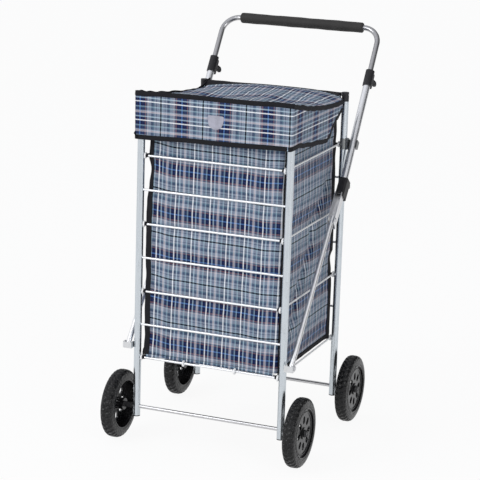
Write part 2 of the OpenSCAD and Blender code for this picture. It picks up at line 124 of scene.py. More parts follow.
def meshPiece(name, verts, faces, material, uv=None):
    # a smooth mesh whose faces are turned outwards; uv holds one pair for each vertex
    mesh = bpy.data.meshes.new(name)
    mesh.from_pydata(verts.tolist(), [], faces)
    if uv is not None:
        layer = mesh.uv_layers.new(name="UVMap")
        loopVerts = np.empty(len(mesh.loops), dtype=np.int32)
        mesh.loops.foreach_get("vertex_index", loopVerts)
        layer.data.foreach_set("uv", np.asarray(uv, dtype=np.float32)[loopVerts].ravel())
    mesh.polygons.foreach_set("use_smooth", [True] * len(mesh.polygons))
    mesh.update()
    piece = bpy.data.objects.new(name, mesh)
    bpy.context.collection.objects.link(piece)
    mesh.materials.append(material)
    bm = bmesh.new()
    bm.from_mesh(mesh)
    bmesh.ops.recalc_face_normals(bm, faces=bm.faces)
    bm.to_mesh(mesh)
    bm.free()
    return piece


def gridFaces(nu, nv, closeU=False, closeV=False, start=0):
    # quads between neighbouring points of a grid stored row by row, u slow and v fast
    u = np.arange(nu if closeU else nu - 1)
    v = np.arange(nv if closeV else nv - 1)
    a, b = np.meshgrid(u, v, indexing="ij")
    a2, b2 = (a + 1) % nu, (b + 1) % nv
    return np.stack([a * nv + b, a2 * nv + b, a2 * nv + b2, a * nv + b2], -1).reshape(-1, 4) + start


def shell(name, outer, inner, material, closeU=False, uv=None):
    # two skins of one grid of points, joined along their open edges
    nu, nv = outer.shape[:2]
    count = nu * nv
    first = gridFaces(nu, nv, closeU=closeU)
    second = gridFaces(nu, nv, closeU=closeU, start=count)[:, ::-1]
    ids = np.arange(count).reshape(nu, nv)
    rims = [(ids[:, 0], True), (ids[:, -1], False)]
    if closeU:
        rims = [(np.append(r, r[0]), low) for r, low in rims]
    else:
        rims += [(ids[0], False), (ids[-1], True)]
    walls = []
    for r, low in rims:
        quad = np.stack([r[:-1], r[1:], r[1:] + count, r[:-1] + count], 1)
        walls.append(quad[:, ::-1] if low else quad)
    faces = np.concatenate([first, second] + walls).tolist()
    verts = np.concatenate([outer.reshape(-1, 3), inner.reshape(-1, 3)])
    pair = None if uv is None else np.concatenate([uv.reshape(-1, 2)] * 2)
    return meshPiece(name, verts, faces, material, pair)


def sweep(path, section, normal, closed=False):
    # section points (sideways, outwards) carried along the path: point = path + s * side + o * normal
    n, m = len(path), len(section)
    if closed:
        tangent = np.roll(path, -1, 0) - np.roll(path, 1, 0)
    else:
        tangent = np.gradient(path, axis=0)
    tangent /= np.linalg.norm(tangent, axis=1)[:, None]
    normal = normal - (normal * tangent).sum(1)[:, None] * tangent
    normal = normal / np.linalg.norm(normal, axis=1)[:, None]
    side = np.cross(tangent, normal)
    sideways, outwards = section[None, :, 0, None], section[None, :, 1, None]
    verts = path[:, None] + sideways * side[:, None] + outwards * normal[:, None]
    faces = gridFaces(n, m, closeU=closed, closeV=True).tolist()
    if not closed:
        faces.append(list(range(m)))
        faces.append(list(range((n - 1) * m, n * m))[::-1])
    return verts.reshape(-1, 3), faces


def roundedStrip(width, thick):
    # closed section of a flat strip with round edges, thick in the outward direction
    r = thick / 2
    a = np.linspace(-math.pi / 2, math.pi / 2, 7)
    right = np.stack([width / 2 - r + r * np.cos(a), r * np.sin(a)], 1)
    return np.concatenate([right, -right])


def smoothLine(at, points):
    # a curve through the points: cosine steps between neighbours
    xs, ys = np.array(points, dtype=float).T
    at = np.clip(at, xs[0], xs[-1])
    i = np.clip(np.searchsorted(xs, at, side="right") - 1, 0, len(xs) - 2)
    t = (at - xs[i]) / (xs[i + 1] - xs[i])
    return ys[i] + (ys[i + 1] - ys[i]) * (1 - np.cos(math.pi * t)) / 2


def newGroup(name, inputs, outputs):
    group = bpy.data.node_groups.new(name, "ShaderNodeTree")
    for label, kind, value in inputs:
        socket = group.interface.new_socket(name=label, in_out="INPUT", socket_type="NodeSocket" + kind)
        if value is not None:
            socket.default_value = value
    for label, kind in outputs:
        group.interface.new_socket(name=label, in_out="OUTPUT", socket_type="NodeSocket" + kind)
    return group, group.nodes.new("NodeGroupInput"), group.nodes.new("NodeGroupOutput")


def put(tree, source, target):
    # source is a socket or a plain value
    if isinstance(source, bpy.types.NodeSocket):
        tree.links.new(source, target)
    else:
        target.default_value = source


def maths(tree, operation, a, b=0.0, c=0.0):
    node = tree.nodes.new("ShaderNodeMath")
    node.operation = operation
    for socket, value in zip(node.inputs, (a, b, c)):
        put(tree, value, socket)
    return node.outputs[0]


def blendColour(tree, factor, a, b, mode="MIX"):
    node = tree.nodes.new("ShaderNodeMix")
    node.data_type = "RGBA"
    node.blend_type = mode
    put(tree, factor, node.inputs["Factor"])
    put(tree, a, node.inputs[6])  # inputs 6 and 7 are the two colours
    put(tree, b, node.inputs[7])
    return node.outputs[2]


def noise(tree, vector, scale, detail=3.0, rough=0.55):
    node = tree.nodes.new("ShaderNodeTexNoise")
    node.inputs["Detail"].default_value = detail
    node.inputs["Roughness"].default_value = rough
    put(tree, scale, node.inputs["Scale"])
    put(tree, vector, node.inputs["Vector"])
    return node.outputs["Fac"]


def spread(tree, value, low, high, outLow=0.0, outHigh=1.0):
    node = tree.nodes.new("ShaderNodeMapRange")
    for socket, number in zip(node.inputs[:5], (value, low, high, outLow, outHigh)):
        put(tree, number, socket)
    return node.outputs[0]


def multiplyVector(tree, vector, factors):
    node = tree.nodes.new("ShaderNodeVectorMath")
    node.operation = "MULTIPLY"
    put(tree, vector, node.inputs[0])
    put(tree, factors, node.inputs[1])
    return node.outputs[0]


def rgba(colour):
    return (*colour, 1.0)


def stripeRamp(tree, value, stripes):
    # stripes: (end of the stripe as a share of the repeat, colour)
    # gives the colour, and 1 on a plain yarn or 0 on a heavy one
    node = tree.nodes.new("ShaderNodeValToRGB")
    node.color_ramp.interpolation = "CONSTANT"
    elements = node.color_ramp.elements
    starts = [0.0] + [end for end, _ in stripes[:-1]]
    for i, (start, (_, colour)) in enumerate(zip(starts, stripes)):
        element = elements[i] if i < 2 else elements.new(start)
        element.position = start
        element.color = (*colour, 1.0)[:4]  # a heavy yarn's colour has a fourth number of 0
    put(tree, value, node.inputs[0])
    return node.outputs[0], node.outputs[1]


# the woven check: bands up the bag and fine stripes across it
check = {
    # lengths in millimetres
    "bandRepeat": 96.7,
    "stripeRepeat": 40.4,
    "bandAt": 325.7,       # height of a dark band's middle over the lowest rung
    "flapBandAt": 27.2,    # the same on the flaps, right of their middle
    "thread": 0.9,         # from one yarn to the next
    # how far into their repeat the fine stripes are at the front's middle, and on the flaps at hinge height
    "stripePhase": 0.2005,
    "flapStripePhase": -0.1535,
    "wander": 0.0022,      # how far the lines stray in all, in metres
    "weft": 0.36,          # least share of the weft yarn in a spot
    "over": 0.12,          # half of what more it has where it lies on top
    "cover": 0.16,         # how much of it the palest warp yarns hide
    "heavy": 0.32,         # how much more of a heavy weft yarn shows
    "navy": (0.004, 0.009, 0.050),
    "ink": (0.014, 0.026, 0.110),
    "sky": (0.10, 0.25, 0.60),
    "ice": (0.42, 0.55, 0.64),
    "teal": (0.15, 0.26, 0.33),
    "slate": (0.030, 0.050, 0.115),
    "steel": (0.100, 0.142, 0.215),
    "pale": (0.37, 0.43, 0.52),
    "blush": (0.58, 0.54, 0.58),
    "white": (0.97, 0.98, 0.99),
    "rose": (0.26, 0.13, 0.13),
    "black": (0.003, 0.003, 0.006, 0.0),
    # from the middle of one thin sky line to the next, inside a dark band
    "bands": [(0.012, "sky"), (0.060, "navy"), (0.085, "ink"), (0.118, "navy"), (0.142, "rose"),
              (0.175, "steel"), (0.200, "blush"), (0.268, "pale"), (0.318, "steel"), (0.345, "teal"),
              (0.385, "pale"), (0.400, "steel"), (0.462, "pale"), (0.482, "ice"), (0.518, "black"),
              (0.540, "ice"), (0.590, "pale"), (0.606, "steel"), (0.650, "pale"), (0.700, "steel"),
              (0.722, "teal"), (0.800, "pale"), (0.826, "blush"), (0.850, "steel"), (0.880, "rose"),
              (0.918, "navy"), (0.945, "ink"), (0.988, "navy"), (1.0, "sky")],
    # from the middle of one white line to the next
    "stripes": [(0.028, "white"), (0.050, "steel"), (0.160, "navy"), (0.178, "steel"), (0.238, "ice"),
                (0.256, "steel"), (0.370, "slate"), (0.400, "steel"), (0.440, "blush"), (0.450, "rose"),
                (0.490, "blush"), (0.535, "pale"), (0.560, "steel"), (0.672, "slate"), (0.690, "steel"),
                (0.735, "teal"), (0.756, "ice"), (0.776, "steel"), (0.885, "navy"), (0.905, "slate"),
                (0.952, "navy"), (0.972, "steel"), (1.0, "white")],
}


def checkGroup(s):
    # a plain weave: each spot mixes its warp and weft colour, and the yarn on top has the larger share
    group, inp, out = newGroup("wovenCheck", [
        ("Vector", "Vector", None), ("Band Phase", "Float", 0.0), ("Stripe Phase", "Float", 0.0)],
        [("Color", "Color"), ("Height", "Float")])
    place = inp.outputs["Vector"]
    split = group.nodes.new("ShaderNodeSeparateXYZ")
    group.links.new(place, split.inputs[0])
    wander = maths(group, "MULTIPLY_ADD", noise(group, place, 9.0, 2.0), s["wander"], -s["wander"] / 2)
    phases = []
    for axis, repeat, phase in ((1, "bandRepeat", "Band Phase"), (0, "stripeRepeat", "Stripe Phase")):
        strayed = maths(group, "ADD", split.outputs[axis], wander)
        turned = maths(group, "MULTIPLY_ADD", strayed, 1000 / s[repeat], inp.outputs[phase])
        phases.append(maths(group, "FRACT", turned))
    weft, plain = stripeRamp(group, phases[0], [(end, s[name]) for end, name in s["bands"]])
    warp, _ = stripeRamp(group, phases[1], [(end, s[name]) for end, name in s["stripes"]])
    turns = 1000 * math.pi / s["thread"]
    u = maths(group, "SINE", maths(group, "MULTIPLY", split.outputs[0], turns))
    v = maths(group, "SINE", maths(group, "MULTIPLY", split.outputs[1], turns))
    cross = maths(group, "MULTIPLY", u, v)          # its sign says which yarn is on top
    bright = group.nodes.new("ShaderNodeRGBToBW")   # pale warp yarns are thicker and hide more of the weft
    group.links.new(warp, bright.inputs[0])
    least = maths(group, "MULTIPLY_ADD", bright.outputs[0], -s["cover"], s["weft"] + s["over"])
    least = maths(group, "MULTIPLY_ADD", maths(group, "SUBTRACT", 1.0, plain), s["heavy"], least)
    share = maths(group, "MULTIPLY_ADD", maths(group, "SIGN", cross), s["over"], least)
    colour = blendColour(group, share, warp, weft)
    fade = spread(group, noise(group, place, 14.0, 4.0), 0.3, 0.7, 0.93, 1.05)
    tint = group.nodes.new("ShaderNodeCombineColor")
    for socket in tint.inputs[:3]:
        group.links.new(fade, socket)
    group.links.new(blendColour(group, 1.0, colour, tint.outputs[0], "MULTIPLY"), out.inputs["Color"])
    height = maths(group, "MAXIMUM", maths(group, "ABSOLUTE", u), maths(group, "ABSOLUTE", v))
    group.links.new(height, out.inputs["Height"])
    return group


def drawnGrainGroup():
    # fine lines along the drawing direction of a tube or wire, with a slow cloudiness
    group, inp, out = newGroup("drawnGrain", [
        ("Vector", "Vector", None), ("Stretch", "Vector", (900.0, 900.0, 14.0)),
        ("Cloud Scale", "Float", 24.0)], [("Lines", "Float"), ("Cloud", "Float")])
    lines = noise(group, multiplyVector(group, inp.outputs["Vector"], inp.outputs["Stretch"]), 1.0, 3.0)
    group.links.new(lines, out.inputs["Lines"])
    group.links.new(noise(group, inp.outputs["Vector"], inp.outputs["Cloud Scale"], 4.0), out.inputs["Cloud"])
    return group


def wearGroup():
    # scratches: thin bands of a stretched noise; dust: a broad soft noise, more of it low down
    group, inp, out = newGroup("handlingWear", [
        ("Vector", "Vector", None), ("Scratch Scale", "Float", 60.0), ("Dust Height", "Float", 0.2)],
        [("Scratches", "Float"), ("Dust", "Float")])
    warped = multiplyVector(group, inp.outputs["Vector"], (1.0, 1.0, 0.16))
    n = noise(group, warped, inp.outputs["Scratch Scale"], 5.0, 0.6)
    line = maths(group, "ABSOLUTE", maths(group, "SUBTRACT", n, 0.5))
    group.links.new(spread(group, line, 0.0, 0.012, 1.0, 0.0), out.inputs["Scratches"])
    split = group.nodes.new("ShaderNodeSeparateXYZ")
    group.links.new(inp.outputs["Vector"], split.inputs[0])
    low = maths(group, "DIVIDE", split.outputs[2], inp.outputs["Dust Height"])
    low = spread(group, low, 0.0, 1.0, 1.0, 0.15)
    patches = spread(group, noise(group, inp.outputs["Vector"], 30.0, 5.0), 0.35, 0.75)
    group.links.new(maths(group, "MULTIPLY", low, patches), out.inputs["Dust"])
    return group


def mouldGroup():
    # leather-like pits of a moulded skin
    group, inp, out = newGroup("mouldedSkin", [("Vector", "Vector", None), ("Scale", "Float", 900.0)],
                               [("Height", "Float"), ("Patch", "Float")])
    cells = group.nodes.new("ShaderNodeTexVoronoi")
    group.links.new(inp.outputs["Vector"], cells.inputs["Vector"])
    group.links.new(inp.outputs["Scale"], cells.inputs["Scale"])
    group.links.new(cells.outputs["Distance"], out.inputs["Height"])
    group.links.new(noise(group, inp.outputs["Vector"], 45.0, 4.0), out.inputs["Patch"])
    return group


groups = {"check": checkGroup(check), "grain": drawnGrainGroup(), "wear": wearGroup(), "mould": mouldGroup()}


def startMaterial(name, slots):
    # slots go to the Principled BSDF's own sockets
    mat = bpy.data.materials.new(name)
    mat.use_nodes = True
    tree = mat.node_tree
    shader = tree.nodes["Principled BSDF"]
    for label, value in slots.items():
        shader.inputs[label].default_value = value
    return mat, tree, shader


def useGroup(tree, group, vector, **values):
    node = tree.nodes.new("ShaderNodeGroup")
    node.node_tree = group
    put(tree, vector, node.inputs["Vector"])
    for label, value in values.items():
        node.inputs[label.replace("_", " ")].default_value = value
    return node


def objectPlace(tree, turn=(0.0, 0.0, 0.0)):
    place = tree.nodes.new("ShaderNodeTexCoord").outputs["Object"]
    if any(turn):
        mapping = tree.nodes.new("ShaderNodeMapping")
        mapping.inputs["Rotation"].default_value = turn
        tree.links.new(place, mapping.inputs["Vector"])
        place = mapping.outputs[0]
    return place


def addBump(tree, shader, height, distance, strength=0.6):
    bump = tree.nodes.new("ShaderNodeBump")
    bump.inputs["Distance"].default_value = distance
    bump.inputs["Strength"].default_value = strength
    tree.links.new(height, bump.inputs["Height"])
    tree.links.new(bump.outputs[0], shader.inputs["Normal"])


def weathered(tree, base, marks, markColour, dust, dustColour):
    # the scratches first, then the dust that lies over them
    base = blendColour(tree, marks, base, rgba(markColour))
    return blendColour(tree, dust, base, rgba(dustColour))


def metalMaterial(name, colour, rough, stretch=(900.0, 900.0, 14.0), turn=(0.0, 0.0, 0.0),
                  metallic=1.0, scuffs=0.35):
    # darker lines along the axis of the smallest stretch, or specks where all three are alike,
    # with scratches and a little dust low down
    mat, tree, shader = startMaterial(name, {"Metallic": metallic})
    grain = useGroup(tree, groups["grain"], objectPlace(tree, turn), Stretch=stretch)
    wear = useGroup(tree, groups["wear"], objectPlace(tree))
    lines = spread(tree, grain.outputs["Lines"], 0.3, 0.7, 0.0, 0.5)
    base = blendColour(tree, lines, rgba(colour), rgba(tuple(0.80 * c for c in colour)))
    marks = maths(tree, "MULTIPLY", wear.outputs["Scratches"], scuffs)
    dusty = maths(tree, "MULTIPLY", wear.outputs["Dust"], 0.10)
    base = weathered(tree, base, marks, tuple(0.6 * c for c in colour), dusty, (0.45, 0.43, 0.40))
    tree.links.new(base, shader.inputs["Base Color"])
    rawRough = spread(tree, grain.outputs["Cloud"], 0.3, 0.7, rough - 0.05, rough + 0.07)
    tree.links.new(maths(tree, "MULTIPLY_ADD", marks, 0.25, rawRough), shader.inputs["Roughness"])
    addBump(tree, shader, grain.outputs["Lines"], 0.00003, 0.35)
    return mat


def plasticMaterial(name, colour, rough, skin=900.0, pit=0.00006, slots=None, worn=0.25, dust=0.12):
    # moulded skin: pits, paler patches, scratches and dust
    mat, tree, shader = startMaterial(name, {"Specular IOR Level": 0.28, **(slots or {})})
    place = objectPlace(tree)
    mould = useGroup(tree, groups["mould"], place, Scale=skin)
    wear = useGroup(tree, groups["wear"], place, Scratch_Scale=85.0)
    pale = tuple(min(1.0, c * 1.9 + 0.004) for c in colour)
    patches = spread(tree, mould.outputs["Patch"], 0.35, 0.7, 0.0, 0.35)
    base = blendColour(tree, patches, rgba(colour), rgba(pale))
    marks = maths(tree, "MULTIPLY", wear.outputs["Scratches"], worn)
    dusty = maths(tree, "MULTIPLY", wear.outputs["Dust"], dust)
    base = weathered(tree, base, marks, tuple(min(1.0, c + 0.10) for c in colour), dusty, (0.30, 0.29, 0.27))
    tree.links.new(base, shader.inputs["Base Color"])
    rawRough = spread(tree, mould.outputs["Patch"], 0.3, 0.7, rough - 0.05, rough + 0.08)
    roughness = maths(tree, "ADD", rawRough, maths(tree, "MULTIPLY", marks, 0.2))
    tree.links.new(roughness, shader.inputs["Roughness"])
    addBump(tree, shader, mould.outputs["Height"], pit)
    return mat


def checkMaterial(name, turned, bandAt, stripePhase):
    # the woven check on the cloth's own UV, laid crosswise where it is turned
    mat, tree, shader = startMaterial(name, {
        "Sheen Weight": 0.03, "Sheen Roughness": 0.4, "Specular IOR Level": 0.15})
    uv = tree.nodes.new("ShaderNodeUVMap").outputs[0]
    if turned:
        split = tree.nodes.new("ShaderNodeSeparateXYZ")
        join = tree.nodes.new("ShaderNodeCombineXYZ")
        tree.links.new(uv, split.inputs[0])
        tree.links.new(split.outputs[1], join.inputs[0])
        tree.links.new(split.outputs[0], join.inputs[1])
        uv = join.outputs[0]
    cloth = useGroup(tree, groups["check"], uv, Band_Phase=-check[bandAt] / check["bandRepeat"],
                     Stripe_Phase=check[stripePhase])
    tree.links.new(cloth.outputs["Color"], shader.inputs["Base Color"])
    rough = spread(tree, cloth.outputs["Height"], 0.2, 1.0, 0.72, 0.55)
    tree.links.new(rough, shader.inputs["Roughness"])
    addBump(tree, shader, cloth.outputs["Height"], 0.0002, 0.5)
    return mat


def webbingMaterial(name, colour, rough=0.72):
    # woven tape and cover cloth: slanting ribs, with patches that are a little paler
    mat, tree, shader = startMaterial(name, {"Sheen Weight": 0.03, "Specular IOR Level": 0.14})
    place = objectPlace(tree)
    weave = tree.nodes.new("ShaderNodeTexWave")
    weave.bands_direction = "DIAGONAL"
    weave.inputs["Scale"].default_value = 420.0
    weave.inputs["Distortion"].default_value = 0.6
    tree.links.new(place, weave.inputs["Vector"])
    patch = noise(tree, place, 60.0, 4.0)
    patchColour = rgba(tuple(c * 1.6 + 0.001 for c in colour))
    ribColour = rgba(tuple(c * 1.9 + 0.004 for c in colour))
    base = blendColour(tree, spread(tree, patch, 0.3, 0.7), rgba(colour), patchColour)
    base = blendColour(tree, maths(tree, "MULTIPLY", weave.outputs["Fac"], 0.3), base, ribColour)
    tree.links.new(base, shader.inputs["Base Color"])
    tree.links.new(spread(tree, patch, 0.3, 0.7, rough - 0.06, rough + 0.08), shader.inputs["Roughness"])
    addBump(tree, shader, weave.outputs["Fac"], 0.00015, 0.6)
    return mat


# the handle's links and tubes lean this far off plumb, and the lines in their metal with them
linkLean = math.radians(39.95)
tubeLean = math.radians(34.0)
finishes = {
    "leg": metalMaterial("legAluminium", (0.68, 0.73, 0.77), 0.24),
    "link": metalMaterial("linkAluminium", (0.92, 0.92, 0.93), 0.34, turn=(linkLean, 0.0, 0.0)),
    "tube": metalMaterial("handleAluminium", (0.80, 0.81, 0.83), 0.28, turn=(tubeLean, 0.0, 0.0)),
    "channel": metalMaterial("channelSteel", (0.93, 0.93, 0.94), 0.40, turn=(linkLean, 0.0, 0.0)),
    "bracket": metalMaterial("bracketSteel", (0.78, 0.79, 0.80), 0.32),
    "rung": metalMaterial("rungZinc", (0.90, 0.91, 0.93), 0.30, stretch=(14.0, 900.0, 900.0), metallic=0.75),
    "sideWire": metalMaterial("sideWireZinc", (1.0, 1.0, 1.0), 0.42, stretch=(900.0, 14.0, 900.0),
                              metallic=0.15),
    "axle": metalMaterial("axleSteel", (0.66, 0.66, 0.67), 0.32, stretch=(14.0, 900.0, 900.0)),
    "bow": metalMaterial("bowChrome", (0.42, 0.42, 0.43), 0.17, stretch=(260.0, 260.0, 260.0)),
    "pin": metalMaterial("pinSteel", (0.70, 0.70, 0.72), 0.30, stretch=(400.0, 400.0, 400.0)),
    "black": plasticMaterial("blackMoulding", (0.012, 0.012, 0.014), 0.42),
    "cap": plasticMaterial("endCap", (0.016, 0.016, 0.018), 0.38),
    "washer": plasticMaterial("washerNylon", (0.70, 0.70, 0.68), 0.40, worn=0.1),
    "rim": plasticMaterial("wheelDisc", (0.004, 0.004, 0.005), 0.12, skin=260.0, pit=0.0005,
                           slots={"Specular IOR Level": 0.35, "Coat Weight": 0.15, "Coat Roughness": 0.08},
                           worn=0.10, dust=0.03),
    "tyre": plasticMaterial("tyreRubber", (0.004, 0.004, 0.0045), 0.20, skin=210.0, pit=0.0016,
                            slots={"Specular IOR Level": 0.30}, worn=0.10, dust=0.03),
    "catch": metalMaterial("catchSteel", (0.26, 0.27, 0.27), 0.36, stretch=(300.0, 300.0, 300.0)),
    "lever": metalMaterial("leverSteel", (0.45, 0.45, 0.47), 0.32, stretch=(300.0, 300.0, 300.0)),
    "bush": plasticMaterial("bushNylon", (0.05, 0.05, 0.052), 0.4),
    "foam": plasticMaterial("gripFoam", (0.030, 0.029, 0.028), 0.62, skin=620.0, pit=0.0003, worn=0.0,
                            dust=0.05),
    "binding": webbingMaterial("bindingTape", (0.008, 0.008, 0.010)),
    "board": webbingMaterial("boardCloth", (0.010, 0.010, 0.012), 0.8),
    "label": webbingMaterial("labelPatch", (0.28, 0.28, 0.33), 0.6),
    "bag": checkMaterial("bagCheck", False, "bandAt", "stripePhase"),
    "flap": checkMaterial("flapCheck", True, "flapBandAt", "flapStripePhase"),
}
# the first part of a name that fits gives a node its finish; the rest are black mouldings
finishRules = [
    ("handle_catch", "catch"), ("knee_lever", "lever"), ("_tyre", "tyre"), ("_rim", "rim"),
    ("_bush", "bush"), ("knee_channel", "channel"), ("brace_bracket", "bracket"), ("brace_link", "link"),
    ("handle_tube", "tube"), ("leg_plugs", "cap"), ("axle_caps", "cap"), ("_leg_", "leg"),
    ("rungs", "rung"), ("wires", "sideWire"), ("_axle", "axle"), ("lid_rod", "axle"), ("pins", "pin"),
    ("knee_washers", "washer"), ("handle_bow", "bow"), ("foam_grip", "foam"), ("base_board", "board"),
    ("bag_", "bag"), ("lid", "flap")
]


def finishOf(name):
    return next((finish for part, finish in finishRules if part in name), "black")


for name, node in nodes.items():
    for materialSlot in node.material_slots:
        materialSlot.material = finishes[finishOf(name)]
print("materials given to", len(nodes), "nodes")

bag = {
    "cloth": 0.0012,
    "corner": 0.005,       # radius of the upright corners
    "rungBulge": 0.0022,   # between two rungs
    "sideBulge": 0.0032,   # between two side wires
    # heights over the lowest rung where the side wires and ties are
    "levels": (0.0, 0.150, 0.300, 0.450),
    # inward pull of the upright edges: (height over the lowest rung, pull)
    "frontLeft": [(-0.004, -0.0070), (0.012, -0.0065), (0.031, -0.0035), (0.054, -0.0020), (0.076, -0.0035),
                  (0.106, -0.0042), (0.136, -0.0042), (0.161, -0.0030), (0.186, -0.0016), (0.211, -0.0036),
                  (0.252, -0.0042), (0.301, -0.0042), (0.349, -0.0030), (0.386, 0.0016), (0.420, 0.0046),
                  (0.450, 0.0), (0.486, 0.0025), (0.546, 0.0025)],
    "frontRight": [(-0.004, -0.004), (0.07, -0.002), (0.15, -0.003), (0.226, -0.0015), (0.30, -0.003),
                   (0.40, -0.0015), (0.45, -0.003), (0.546, -0.002)],
    "rearRight": [(-0.004, -0.004), (0.01, -0.004), (0.08, -0.005), (0.123, -0.005), (0.154, -0.0022),
                  (0.189, 0.0013), (0.218, -0.006), (0.265, -0.006), (0.30, -0.003), (0.374, -0.002),
                  (0.435, -0.001), (0.466, -0.001), (0.546, 0.0)],
    "rearLeft": [(-0.004, -0.0040), (0.061, 0.0), (0.150, -0.0030), (0.231, 0.0015), (0.300, -0.0030),
                 (0.371, 0.0020), (0.450, -0.0020), (0.546, 0.0020)],
    "pullReach": 0.022,    # how far from an edge its pull is felt
    "tieFold": 0.0010,     # short folds that run out from each tie
    "tieFoldReach": 0.030,
    "tieHalf": 0.006,      # no folds as near as this to a tie
    "pucker": 0.0005,
    # a long crease down each side cloth: (distance behind the front legs, height over the lowest rung)
    "crease": [(0.2995, 0.384), (0.2295, 0.314), (0.1965, 0.297), (0.1935, 0.257), (0.1395, 0.184),
               (0.1165, 0.164), (0.1065, 0.114), (0.0795, 0.094)],
    "creaseDeep": 0.0070,
    "creaseHalf": 0.0130,
    "creaseLeft": 0.6,     # share of the depth on the left side
    "sinkMost": 0.016,     # the cloth stays between these depths and heights
    "standMost": 0.0040,
    "footStand": 0.0068,   # and may stand out further below the next height
    "footHigh": 0.019,
    # how far the bands of the front cloth hang below level, from left to right
    "sag": [(-0.165, 0.0), (-0.150, -0.0085), (-0.09, -0.002), (0.0, 0.0), (0.06, 0.0012), (0.115, 0.0035),
            (0.150, 0.001), (0.165, 0.0)],
    "lean": 0.014,         # the upright lines run this much off plumb
    "leanAbout": 0.4,      # from this height
    "edgeFree": 0.002,     # cloth this near to the front or the back moves wholly with its own frame
}


def leanWithFrame(piece, s):
    # the cloth between the two frames: each point takes the share of the front frame's
    # move that its distance from the rear cloth gives, so the bag shears as they fold
    ys = np.array([v.co.y for v in piece.data.vertices])
    share = np.clip((bagBack - s["edgeFree"] - ys) / (bagBack - bagFront - 2 * s["edgeFree"]), 0, 1)
    group = piece.vertex_groups.new(name="front")
    for i, w in enumerate(share.tolist()):
        group.add([i], w, "REPLACE")
    hook = piece.modifiers.new("lean", "HOOK")
    hook.object = bodies["front_frame"]
    hook.vertex_group = "front"
    hook.matrix_inverse = bodies["front_frame"].matrix_world.inverted()
    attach(piece, "rear_frame")


def ringLengths(s):
    flat, arc, deep = bagHalf - s["corner"], math.pi * s["corner"] / 2, bagBack - bagFront - 2 * s["corner"]
    return np.cumsum([flat, arc, deep, arc, flat])


def ringPoint(t, s):
    # rounded rectangle seen from above, t from its front middle; gives the place and the outward direction
    a, b, c, d, _ = ringLengths(s)
    r = s["corner"]
    side = np.where(t < 0, -1.0, 1.0)
    m = np.abs(t)
    turn1 = np.clip((m - a) / r, 0, math.pi / 2)
    turn2 = np.clip((m - c) / r, 0, math.pi / 2)
    rearX = bagHalf - r + r * np.cos(turn2) - np.clip(m - d, 0, None)
    x = np.where(m < b, np.minimum(m, a) + r * np.sin(turn1), rearX)
    y = np.where(m < c, bagFront + r - r * np.cos(turn1) + np.clip(m - b, 0, None),
                 bagBack - r + r * np.sin(turn2))
    turn = turn1 + turn2
    return side * x, y, side * np.sin(turn), -np.cos(turn)


def creaseDepth(y, h, s):
    # a valley along the broken line: depth falls off with the square of the distance to it
    nearest = np.full(np.broadcast(y, h).shape, 1.0)
    for p, q in zip(s["crease"][:-1], s["crease"][1:]):
        dy, dz = q[0] - p[0], q[1] - p[1]
        along = np.clip(((y - p[0]) * dy + (h - p[1]) * dz) / (dy * dy + dz * dz), 0, 1)
        nearest = np.minimum(nearest, np.hypot(y - p[0] - along * dy, h - p[1] - along * dz))
    return s["creaseDeep"] * np.exp(-(nearest / s["creaseHalf"]) ** 2)


def bulges(t, z, s):
    # the cloth stands out between its supports, as the square of a sine, and less at the upright edges
    a, b, c, d, _ = ringLengths(s)
    m = np.abs(t)
    x, y = ringPoint(t, s)[:2]
    rungWave = np.sin(math.pi * (z - rungLow) / rungStep) ** 2
    wireWave = np.sin(math.pi * (z - rungLow) / s["levels"][1]) ** 2
    onFace = np.clip(1 - (np.abs(x) / (bagHalf - 0.004)) ** 4, 0, 1) * ((m < a) | (m > d))
    fromMiddle = (y - (bagFront + bagBack) / 2) / ((bagBack - bagFront) / 2)
    onSide = np.clip(1 - fromMiddle ** 4, 0, 1) * ((m > b) & (m < c))
    out = s["rungBulge"] * rungWave * onFace * (0.75 + 0.25 * np.sin(23 * x + 31 * z))
    return out + s["sideBulge"] * wireWave * onSide * (0.7 + 0.3 * np.sin(19 * y + 17 * z)), onSide


def clothRelief(t, z, s):
    # how far the cloth stands out: its bulges less the pull of the upright edges and the side creases,
    # with a fan of short folds at each tie and small puckers all over
    a, b, c, d, _ = ringLengths(s)
    m = np.abs(t)
    h = z - rungLow
    out, onSide = bulges(t, z, s)
    for middle, end in (((a + b) / 2, "front"), ((c + d) / 2, "rear")):
        near = np.exp(-((m - middle) / s["pullReach"]) ** 2)
        out = out - near * np.where(t < 0, smoothLine(h, s[end + "Left"]), smoothLine(h, s[end + "Right"]))
        for level in s["levels"]:
            far = np.hypot(m - middle, h - level)
            fan = np.sin(9 * np.arctan2(h - level, m - middle + 1e-6))
            out = out + s["tieFold"] * np.exp(-far / s["tieFoldReach"]) * fan * (far > s["tieHalf"])
    y = ringPoint(t, s)[1]
    out = out - creaseDepth(y - frontY, h, s) * onSide * np.where(t > 0, 1.0, s["creaseLeft"])
    out = out + s["pucker"] * np.sin(70 * t + 9 * np.sin(14 * z)) * np.sin(38 * z + 5 * np.sin(11 * t))
    return np.clip(out, -s["sinkMost"], np.where(h < s["footHigh"], s["footStand"], s["standMost"]))


def bagPoints(t, z, lift, s):
    x, y, nx, ny = ringPoint(t, s)
    out = clothRelief(t, z, s) + lift
    return np.stack([x + out * nx, y + out * ny, z + 0 * out], -1)


def bagPatch(name, t, z, thick, lift, material, closeU=False):
    # a piece of the bag's wall between two offsets from it, with the weave running on from piece to piece
    gt, gz = np.meshgrid(t, z, indexing="ij")
    h = gz - rungLow
    uv = np.stack([gt - bag["lean"] * (h - bag["leanAbout"]), h + smoothLine(gt, bag["sag"])], -1)
    outer = bagPoints(gt, gz, lift + thick, bag)
    piece = shell(name, outer, bagPoints(gt, gz, lift, bag), material, closeU, uv)
    leanWithFrame(piece, bag)
    return piece


